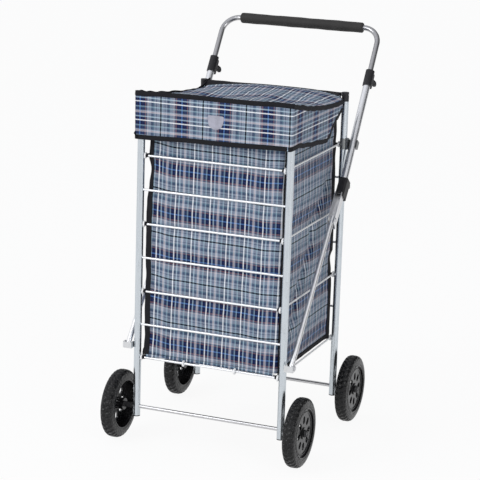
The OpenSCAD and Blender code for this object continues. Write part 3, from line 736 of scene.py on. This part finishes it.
ends = ringLengths(bag)
around = np.linspace(-ends[-1], ends[-1], 401)[:-1]
heights = np.linspace(bagLow + 0.0004, bagHigh, 124)
bagShell = bagPatch("bag_cloth", around, heights, bag["cloth"], -bag["cloth"], finishes["bag"], closeU=True)
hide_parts("bag_front_panel", "bag_rear_panel", "bag_side_left", "bag_side_right")

tapes = {
    # where each upright tape starts and stops round the bag, from the front middle
    "upright": {"front_left": (ends[0] - 0.006, ends[1] + 0.001),
                "front_right": (ends[0] + 0.0055, ends[1] + 0.012),
                "rear_left": (ends[2] - 0.014, ends[3] + 0.001),
                "rear_right": (ends[2] - 0.014, ends[3] + 0.001)},
    "uprightThick": 0.0010,
    "uprightStand": 0.0001,    # off the cloth
    "thick": 0.0012,
    "stand": 0.0002,
    "footFrom": 0.0008,    # over the board's underside
    "bottomHigh": 0.005,   # the bottom tape and the front foot end this far over the bag's lower edge
    "footHigh": 0.0012,
    "topDeep": 0.011,      # the top tape starts this far under the cloth's upper edge
    "topPast": 0.0008,     # and ends this far over it
    "wrap": 0.003,         # the bottom tape comes this far round the front corners
}


def bagTrim(s):
    # the upright tapes, the bottom tape round the rear, the foot of the front cloth and the top tape
    made = []
    for corner, (start, stop) in s["upright"].items():
        strip = (-1 if corner.endswith("left") else 1) * np.linspace(start, stop, 15)
        made.append(bagPatch(f"bag_{corner}_binding", strip, heights, s["uprightThick"], s["uprightStand"],
                             finishes["binding"]))
    foot = bagFloor[0][2] + s["footFrom"]
    rear = np.linspace(ends[1] - s["wrap"], 2 * ends[-1] - ends[1] + s["wrap"], 241)
    rear = np.where(rear > ends[-1], rear - 2 * ends[-1], rear)
    front = np.linspace(-ends[0], ends[0], 121)
    low = np.linspace(foot, bagLow + s["bottomHigh"], 5)
    hem = np.linspace(foot, bagLow + s["footHigh"], 4)
    high = np.linspace(bagHigh - s["topDeep"], bagHigh + s["topPast"], 6)
    for name, t, z, finish, closed in (("bag_bottom_binding", rear, low, "binding", False),
                                       ("bag_front_foot", front, hem, "bag", False),
                                       ("bag_top_binding", around, high, "binding", True)):
        made.append(bagPatch(name, t, z, s["thick"], s["stand"], finishes[finish], closeU=closed))
    return made


bindings = bagTrim(tapes)
print("bag made")

board = {"inset": 0.0022, "corner": 0.008}


def boardPiece(s):
    # a slab with round edges: a closed grid, round the board by u and over its edge by v
    (x0, y0, z0), (x1, y1, z1) = bagFloor
    half, r = (z1 - z0) / 2, s["corner"]
    edge = math.pi * (np.linspace(0, 1, 13) - 0.5)
    corner = []
    for right, back, start in ((0, 0, 180), (1, 0, 270), (1, 1, 0), (0, 1, 90)):
        a = np.radians(np.linspace(start, start + 90, 6))
        cx = x1 - r - s["inset"] if right else x0 + r + s["inset"]
        cy = y1 - r if back else y0 + r
        corner.append(np.stack([cx + r * np.cos(a), cy + r * np.sin(a)], 1))
    ring = np.concatenate(corner)
    mid = ring.mean(0)
    inward = (mid - ring) / np.linalg.norm(mid - ring, axis=1)[:, None]
    flat = ring[:, None] + inward[:, None] * (half * (1 - np.cos(edge)))[None, :, None]
    zs = np.broadcast_to((z0 + z1) / 2 + half * np.sin(edge), flat.shape[:2])
    pts = np.concatenate([flat, zs[..., None]], -1)
    n = len(edge)
    faces = gridFaces(len(ring), n, closeU=True).tolist()
    faces.append([i * n for i in range(len(ring))][::-1])
    faces.append([i * n + n - 1 for i in range(len(ring))])
    piece = meshPiece("base_board_cover", pts.reshape(-1, 3), faces, finishes["board"])
    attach(piece, "bottom_links")
    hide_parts("base_board")


boardPiece(board)

ties = {
    "width": 0.0055,
    "thick": 0.0011,
    "reach": 0.0062,   # how much longer than high a loop is
    "gap": 0.0009,     # from the rung to the middle of the tape's thickness
    "from": 0.1555,    # distance from the middle of the bag
}


def tieLoop(name, x, y, z, inwardSign, s):
    # a flat tape round the rung and back to the cloth: an oval path in an upright plane
    a = np.linspace(0, 2 * math.pi, 25)[:-1]
    cy = y + inwardSign * s["reach"] / 2
    pathY = cy + (s["reach"] / 2 + rungR + s["gap"]) * np.cos(a)
    path = np.stack([np.full(len(a), x), pathY, z + (rungR + s["gap"]) * np.sin(a)], 1)
    section = roundedStrip(s["width"], s["thick"])
    verts, faces = sweep(path, section, path - np.array([x, cy, z]), closed=True)
    return meshPiece(name, verts, faces, finishes["binding"])


for i, level in enumerate(bag["levels"]):
    for side, sign in (("left", -1), ("right", 1)):
        for end, y, body, turn in (("front", frontY, "front_frame", 1), ("rear", rearY, "rear_frame", -1)):
            loop = tieLoop(f"tie_{end}_{side}_{i}", sign * ties["from"], y, rungLow + level, turn, ties)
            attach(loop, body)
print("ties made")

lid = {
    "cloth": 0.0012,
    "inset": 0.0012,       # of the flaps, from the front of the solid lid
    "sideInset": 0.0008,
    "corner": 0.004,
    "binding": 0.0105,     # width of the tapes
    "bindingThick": 0.0024,
    "hemIn": 0.0045,       # how far the lower tape lies above the flaps' edge
    "hemR": 0.0045,        # the sleeve round the hinge rod
    "sleeveBore": 0.0030,
    "step": 0.0042,        # the top cloth meets the tape this far over its middle
    "sink": [(-0.1814, 0.0112), (-0.166, 0.0100), (-0.148, 0.0)],  # but hangs lower along the left rim
    "weaveAt": 0.2557,     # the top cloth's bands are counted from this far behind the rear legs
    # q runs from 0 at the hinge to 1 at the front, heights are over the hinge axis: the two side rims,
    # the front edge from left to right, and the middle of the lid
    "rimLeft": [(0, 0.0035), (0.03, -0.0005), (0.06, -0.011), (0.10, -0.0175), (0.15, -0.0168),
                (0.25, -0.0141), (0.48, -0.005), (0.66, 0.0033), (0.82, 0.0122), (0.93, 0.0200),
                (0.98, 0.0226), (1, 0.0252)],
    "rimRight": [(0, -0.003), (0.04, -0.0055), (0.09, -0.009), (0.2, -0.0105), (0.28, -0.0092),
                 (0.42, -0.0057), (0.5, -0.0025), (0.64, 0.0035), (0.72, 0.0079), (0.87, 0.0175),
                 (0.95, 0.0225), (1, 0.0268)],
    "rimFront": [(-0.1822, 0.0252), (-0.175, 0.0226), (-0.16, 0.0222), (-0.113, 0.0246), (-0.034, 0.0252),
                 (0.08, 0.0250), (0.15, 0.0274), (0.1822, 0.0268)],
    "crown": [(0, 0.0045), (0.06, 0.0085), (0.2, 0.0130), (0.33, 0.0095), (0.47, 0.0055), (0.62, 0.0065),
              (0.8, 0.0135), (0.93, 0.0212), (1, 0.0255)],
    # dip of the loose cloth half-way, from left to right
    "ripple": [(-0.13, 0.0), (-0.07, 0.010), (-0.01, 0.001), (0.05, -0.0035), (0.10, 0.004), (0.15, 0.0)],
    # how far the lid is tucked in on each side near the hinge
    "tuck": [(0, 0.0210), (0.03, 0.0197), (0.06, 0.0122), (0.10, 0.0042), (0.12, 0.0)],
    # the lower edge of the side flaps, and of the front flap from left to right
    "under": [(0, -0.006), (0.05, -0.02), (0.082, -0.0267), (0.126, -0.0317), (0.204, -0.0452),
              (0.269, -0.0582), (0.334, -0.0776), (0.387, -0.0844), (0.434, -0.0831), (0.615, -0.0776),
              (0.774, -0.0722), (0.878, -0.0665), (1, -0.0668)],
    "underFront": [(-0.1822, -0.0752), (0.0, -0.0712), (0.17, -0.0680), (0.1822, -0.0668)],
    "least": 0.006,        # the flaps are at least this deep
}
flapY = lidBox[0][1] + lid["inset"]
lidOut = lidBox[1][0] - lid["sideInset"]
lidRun = rearY - flapY


def lidHalf(q, s):
    return lidOut - smoothLine(q, s["tuck"])


def atFront(q):
    # 0 over most of the lid, rising to 1 along its front edge
    return np.clip((q - 0.92) / 0.08, 0, 1)


def lidEdge(x, q, s):
    # height of the lid's rim: each side has its own line, the front edge bends between the two corners
    side = np.where(x < 0, smoothLine(q, s["rimLeft"]), smoothLine(q, s["rimRight"]))
    corner = np.where(x < 0, s["rimLeft"][-1][1], s["rimRight"][-1][1])
    front = smoothLine(x, s["rimFront"]) - corner
    return hinge.z + side + front * atFront(q)


def lidTop(x, q, s):
    # the crown in the middle gives way to the rim at the sides, with a ripple where the cloth is loose
    share = np.clip(np.abs(x) / lidHalf(q, s), 0, 1) ** np.where(x < 0, 1.8, 4.5)
    step = s["step"] - smoothLine(x, s["sink"]) * np.clip(q / 0.1, 0, 1) * np.clip((1 - q) / 0.08, 0, 1)
    crown = smoothLine(q, s["crown"]) - smoothLine(x, s["ripple"]) * np.exp(-((q - 0.5) / 0.2) ** 2)
    crown = crown + 0.0007 * np.sin(40 * x + 6 * np.sin(9 * q)) * np.sin(11 * q + 3 * x) * np.sin(math.pi * q)
    front = atFront(q)
    crown = crown * (1 - front) + (lidEdge(x, q, s) - hinge.z + step) * front
    return (lidEdge(x, q, s) + step) * share + (hinge.z + crown) * (1 - share)


def skirtPlan(t, s):
    # the flaps seen from above, t from the front middle round the corner to the hinge end
    r = s["corner"]
    flat = lidOut - r
    arc = math.pi * r / 2
    side = np.where(t < 0, -1.0, 1.0)
    m = np.abs(t)
    turn = np.clip((m - flat) / r, 0, math.pi / 2)
    y = flapY + r - r * np.cos(turn) + np.clip(m - flat - arc, 0, None)
    x = np.minimum(m, flat) + r * np.sin(turn) - smoothLine((rearY - y) / lidRun, s["tuck"])
    return side * x, y, side * np.sin(turn), -np.cos(turn)


skirtFront = lidOut - lid["corner"] + math.pi * lid["corner"] / 2
skirtEnd = skirtFront + rearY + 0.003 - flapY - lid["corner"]


def skirtWave(t, down):
    # the hanging cloth swings in and out a little more towards its free edge, at the sides only inwards
    wave = 0.0016 * np.sin(26 * t + 0.6) + 0.0009 * np.sin(61 * t + 2.0)
    inside = 0.0007 * np.sin(38 * t + 0.6) - 0.0008
    return down * np.where(np.abs(t) < skirtFront - 0.012, wave, inside)


def skirtPoints(t, share, lift, s):
    # share runs from 0 at the rim to 1 at the lower edge
    x, y, nx, ny = skirtPlan(t, s)
    q = np.clip((rearY - y) / lidRun, 0, 1)
    top = lidEdge(x, q, s)
    front = np.abs(t) < skirtFront - 0.002
    under = hinge.z + np.where(front, smoothLine(x, s["underFront"]), smoothLine(q, s["under"]))
    z = top + (np.minimum(under, top - s["least"]) - top) * share
    out = skirtWave(t, share) + lift
    return np.stack([x + out * nx, y + out * ny, z], -1)


def flapsPiece(s):
    # one cloth round the front and both sides, from the rim down to the lower edge
    t, share = np.meshgrid(np.linspace(-skirtEnd, skirtEnd, 321), np.linspace(0, 1, 26), indexing="ij")
    outer = skirtPoints(t, share, 0.0, s)
    inner = skirtPoints(t, share, -s["cloth"], s)
    return shell("lid_flaps", outer, inner, finishes["flap"], uv=np.stack([t, outer[..., 2] - hinge.z], -1))


def topPiece(s):
    # the lid's height over a grid from side to side by u and from the sleeve to the front edge by q
    u, q = np.meshgrid(np.linspace(-1, 1, 121), np.linspace(0.036, 1, 101), indexing="ij")
    y = rearY - q * (lidRun - 0.0008)
    x = u * (lidHalf(q, s) - 0.0008)
    # round off the two front corners in plan, as the flaps do
    over = np.clip(np.abs(x) - (lidOut - s["corner"]), 0, None)
    arc = np.sqrt(np.clip(s["corner"] ** 2 - over ** 2, 0, None))
    y = np.maximum(y, flapY + s["corner"] - arc + 0.0008)
    z = lidTop(x, np.clip((rearY - y) / lidRun, 0, 1), s)
    upper = np.stack([x, y, z], -1)
    lower = np.stack([x, y, z - s["cloth"]], -1)
    return shell("lid_cloth", upper, lower, finishes["bag"], uv=np.stack([x, rearY - y + s["weaveAt"]], -1))


def edgeTape(name, t, share, shift, s):
    # a flat tape over an edge of the flaps
    x, y, nx, ny = skirtPlan(t, s)
    path = skirtPoints(t, np.full(len(t), float(share)), -s["cloth"] / 2, s)
    section = roundedStrip(s["binding"], s["bindingThick"]) + np.array([shift, 0.0])
    verts, faces = sweep(path, section, np.stack([nx, ny, 0 * nx], 1))
    return meshPiece(name, verts, faces, finishes["binding"])


sleeveHalf = legX - legR - 0.0008


def sleevePiece(s):
    # a slightly puffed tube round the hinge rod
    turns = np.linspace(0, 2 * math.pi, 29)[:-1]
    run = np.linspace(-sleeveHalf, sleeveHalf, 121)
    puff = s["hemR"] - 0.0004 + 0.0004 * np.sin(90 * run) * np.sin(37 * run)
    x = run[None] + 0 * turns[:, None]
    skins = []
    for r in (puff, s["sleeveBore"]):
        y, z = hinge.y + r * np.cos(turns)[:, None] + 0 * x, hinge.z + r * np.sin(turns)[:, None] + 0 * x
        skins.append(np.stack([x, y, z], -1))
    return shell("lid_sleeve", *skins, finishes["binding"], closeU=True)


def rearBand(s):
    # joins the sleeve to the top cloth: its height blends from the one to the other
    x, q = np.meshgrid(np.linspace(-sleeveHalf, sleeveHalf, 61), np.linspace(0.0, 0.065, 9), indexing="ij")
    x = np.clip(x, -lidHalf(q, s) + 0.001, lidHalf(q, s) - 0.001)
    y = rearY - q * lidRun
    blend = np.clip(q / 0.036, 0, 1)
    z = (hinge.z + s["hemR"] - 0.0007) * (1 - blend) + (lidTop(x, q, s) + 0.0009) * blend
    upper = np.stack([x, y, z], -1)
    return shell("lid_rear_band", upper, np.stack([x, y, z - 0.0011], -1), finishes["binding"])


skirt = flapsPiece(lid)
lidSheet = topPiece(lid)
for piece in (lidSheet, skirt):
    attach(piece, "lid")
along = np.linspace(-skirtEnd, skirtEnd, 361)
rimTape = edgeTape("lid_rim_binding", along, 0, 0.0, lid)
hemTape = edgeTape("lid_hem_binding", along, 1, -lid["hemIn"], lid)
sleeve = sleevePiece(lid)
band = rearBand(lid)
for piece in (rimTape, hemTape, sleeve, band):
    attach(piece, "lid")

patch = {
    "centre": (0.008, -0.0234),   # across, over the hinge axis
    "thick": 0.0010,
    "rings": (0, 0.2, 0.4, 0.6, 0.8, 0.86, 0.9, 0.95, 1.0),   # from the middle to the edge
    "rise": (1, 1, 1, 1, 1, 0.6, 1, 1, 0.5),                  # with a stitched groove near it
    # outline of the left half from the top middle to the bottom middle, in millimetres
    "outline": [(0, 14.7), (8, 14.8), (14.5, 14.6), (17.3, 13.6), (18.4, 11.2), (18.3, 8), (17.4, 2),
                (15.8, -4), (13.2, -8.6), (9.2, -12.2), (4.6, -14.2), (0, -14.8)],
}


def patchPiece(s):
    # a shield-shaped label sewn on the front flap: rings of its outline, shrunk towards its centre
    half = np.array(s["outline"]) / 1000
    at = np.linspace(0, len(half) - 1, 45)
    half = np.stack([np.interp(at, np.arange(len(half)), half[:, k]) for k in (0, 1)], 1)
    ring = np.concatenate([half, half[-2:0:-1] * (-1, 1)])
    x = s["centre"][0] - np.outer(ring[:, 0], s["rings"])
    z = hinge.z + s["centre"][1] + np.outer(ring[:, 1], s["rings"])
    rim = lidEdge(x, np.ones(x.shape), lid)
    share = (rim - z) / (rim - hinge.z - smoothLine(x, lid["underFront"]))
    base = skirtPoints(x, share, 0.0, lid)[..., 1]
    rise = s["thick"] * np.array(s["rise"])
    piece = shell("label_patch", np.stack([x, base - rise, z], -1), np.stack([x, base + 0.0001, z], -1),
                  finishes["label"], closeU=True)
    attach(piece, "lid")


patchPiece(patch)
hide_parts("lid")
print("lid made")

tyre = {
    "lugs": 36,
    "lugDepth": 0.0022,
    "treadEdge": 0.0062,   # the grooves fade out this far below the tread
    "middle": 0.0011,      # half the width of the groove round the middle
    "slant": 220,          # how far the grooves' phase runs on for each metre across, in radians
    # across the wheel, and below the tread
    "profile": [(-0.0143, 0.0208), (-0.0145, 0.0175), (-0.0142, 0.0135), (-0.0136, 0.0100), (-0.0126, 0.0065),
                (-0.0112, 0.0037), (-0.0094, 0.0017), (-0.0070, 0.0007), (-0.0040, 0.0002), (0.0, 0.0)],
    "ribs": (0.0110, 0.0178),
    "ribHigh": 0.0005,
    "steps": 368,
}


def tyrePiece(name, s):
    # profile turned about the axle; the tread is cut by slanting grooves and one round its middle
    (x0, y0, z0), (x1, y1, z1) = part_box(name)
    centre = np.array([(x0 + x1) / 2, (y0 + y1) / 2, (z0 + z1) / 2])
    treadR = (z1 - z0) / 2
    half = np.array(s["profile"])
    w = np.concatenate([half[:, 0], -half[::-1, 0][1:]])
    below = np.concatenate([half[:, 1], half[::-1, 1][1:]])
    at = np.linspace(0, len(w) - 1, 37)
    w, below = np.interp(at, np.arange(len(w)), w), np.interp(at, np.arange(len(below)), below)
    angle = np.arange(s["steps"]) * 2 * math.pi / s["steps"]
    angle, across = np.meshgrid(angle, w, indexing="ij")
    under = np.broadcast_to(below, angle.shape)
    onTread = np.clip((s["treadEdge"] - under) / 0.0015, 0, 1)
    slant = np.sin(s["lugs"] * angle + np.sign(across) * 1.2 + s["slant"] * np.abs(across))
    cut = np.clip((slant - 0.30) / 0.25, 0, 1)
    middle = np.clip((s["middle"] - np.abs(across)) / 0.0006, 0, 1)
    radius = treadR - under - s["lugDepth"] * onTread * np.maximum(cut, middle * 0.8)
    for rib in s["ribs"]:
        onRib = np.clip(1 - np.abs(under - rib) / 0.0009, 0, 1) * (np.abs(across) > 0.009)
        across = across + np.sign(across) * s["ribHigh"] * onRib
    skins = []
    for r in (radius, treadR - s["profile"][0][1] - 0.0001):
        skins.append(np.stack([centre[0] + across, centre[1] + r * np.cos(angle),
                               centre[2] + r * np.sin(angle)], -1))
    piece = shell(name.replace("_tyre", "_tread"), *skins, finishes["tyre"], closeU=True)
    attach(piece, name.replace("_tyre", "").replace("left", "wheel_left").replace("right", "wheel_right"))
    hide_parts(name)


for end in ("front", "rear"):
    for side in ("left", "right"):
        tyrePiece(f"{end}_{side}_tyre", tyre)
print("tyres made")

grip = {"softEnd": 0.004, "endRun": 0.008, "inset": 0.0006, "dimple": 0.00025, "play": 0.0001}


def gripPiece(s):
    # foam sleeve: a tube whose ends roll in as a quarter circle, with a slightly uneven surface
    (x0, y0, z0), (x1, y1, z1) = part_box("foam_grip")
    cy, cz, r = (y0 + y1) / 2, (z0 + z1) / 2, (z1 - z0) / 2
    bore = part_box("handle_bow")[1][2] - cz
    k = np.linspace(0, 1, 9) * math.pi / 2
    outwards, inwards = s["softEnd"] * (1 - np.cos(k)), s["softEnd"] * (1 - np.sin(k))
    straight = np.linspace(x0 + s["endRun"], x1 - s["endRun"], 150)
    x = np.concatenate([x0 + outwards, straight, x1 - outwards[::-1]])
    roll = np.concatenate([inwards, np.zeros(150), inwards[::-1]])
    angle, along = np.meshgrid(np.linspace(0, 2 * math.pi, 49)[:-1], x, indexing="ij")
    uneven = s["dimple"] * (np.sin(61 * along + 2 * angle) + 0.6 * np.sin(143 * along - 3 * angle))
    skins = []
    for radius in (r - s["inset"] - roll + uneven, bore + s["play"]):
        skins.append(np.stack([along, cy + radius * np.cos(angle), cz + radius * np.sin(angle)], -1))
    piece = shell("grip_sleeve", *skins, finishes["foam"], closeU=True)
    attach(piece, "handle_bow")
    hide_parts("foam_grip")


gripPiece(grip)
print("grip made")

light = {
    "low": 0.14,       # light from the dark side of the room
    "high": 1.00,      # light from the bright side
    "from": (-0.62, -0.50, 0.60),
    "aim": (0, 0, 0.45),
    # place, size and power of each lamp
    "key": ((-1.7, -2.5, 2.3), 1.2, 26.0),
    "fill": ((2.6, -1.6, 1.4), 1.4, 22.0),
}


def worldLight(s):
    # a room that is bright at the upper left and dim at the right; the camera sees plain white
    world = bpy.data.worlds.new("studio")
    bpy.context.scene.world = world
    world.use_nodes = True
    tree = world.node_tree
    tree.nodes.clear()
    out = tree.nodes.new("ShaderNodeOutputWorld")
    room = tree.nodes.new("ShaderNodeBackground")
    room.inputs["Color"].default_value = (0.95, 0.96, 1.0, 1)
    towards = tree.nodes.new("ShaderNodeVectorMath")
    towards.operation = "DOT_PRODUCT"
    tree.links.new(tree.nodes.new("ShaderNodeTexCoord").outputs["Generated"], towards.inputs[0])
    towards.inputs[1].default_value = Vector(s["from"]).normalized()
    strength = spread(tree, towards.outputs["Value"], -0.45, 0.85, s["low"], s["high"])
    tree.links.new(strength, room.inputs["Strength"])
    shown = tree.nodes.new("ShaderNodeBackground")
    shown.inputs["Color"].default_value = (1.0, 1.0, 1.0, 1)
    shown.inputs["Strength"].default_value = 1.0
    mix = tree.nodes.new("ShaderNodeMixShader")
    path = tree.nodes.new("ShaderNodeLightPath")
    tree.links.new(path.outputs["Is Camera Ray"], mix.inputs[0])
    tree.links.new(room.outputs[0], mix.inputs[1])
    tree.links.new(shown.outputs[0], mix.inputs[2])
    tree.links.new(mix.outputs[0], out.inputs[0])


def softLamp(name, s):
    place, size, power = s[name]
    data = bpy.data.lights.new(name, "AREA")
    data.size = size
    data.energy = power
    lamp = bpy.data.objects.new(name, data)
    bpy.context.collection.objects.link(lamp)
    lamp.location = place
    lamp.rotation_euler = (Vector(s["aim"]) - Vector(place)).to_track_quat("-Z", "Y").to_euler()


worldLight(light)
softLamp("key", light)
softLamp("fill", light)

ground = {
    "half": 12.0,
    "tone": (0.86, 0.86, 0.86, 1),
    "seen": 0.92,      # share of plain white in what the camera sees of it
    "mirrored": 0.6,   # and in what metal shows of it
}


def floorPiece(s):
    mesh = bpy.data.meshes.new("floor")
    e = s["half"]
    mesh.from_pydata([(-e, -e, 0), (e, -e, 0), (e, e, 0), (-e, e, 0)], [], [(0, 1, 2, 3)])
    floor = bpy.data.objects.new("floor", mesh)
    bpy.context.collection.objects.link(floor)
    mat = bpy.data.materials.new("paleFloor")
    mat.use_nodes = True
    tree = mat.node_tree
    tree.nodes.clear()
    out = tree.nodes.new("ShaderNodeOutputMaterial")
    matt = tree.nodes.new("ShaderNodeBsdfDiffuse")
    matt.inputs["Color"].default_value = s["tone"]
    glow = tree.nodes.new("ShaderNodeEmission")
    glow.inputs["Color"].default_value = (1.0, 1.0, 1.0, 1)
    mix = tree.nodes.new("ShaderNodeMixShader")
    path = tree.nodes.new("ShaderNodeLightPath")
    share = maths(tree, "MULTIPLY", path.outputs["Is Camera Ray"], s["seen"])
    mirrored = maths(tree, "MULTIPLY", path.outputs["Is Glossy Ray"], s["mirrored"])
    share = maths(tree, "MAXIMUM", share, mirrored)
    tree.links.new(share, mix.inputs[0])
    tree.links.new(matt.outputs[0], mix.inputs[1])
    tree.links.new(glow.outputs[0], mix.inputs[2])
    tree.links.new(mix.outputs[0], out.inputs[0])
    mesh.materials.append(mat)


floorPiece(ground)
bpy.context.scene.view_settings.view_transform = "Standard"
print("lights and floor set")
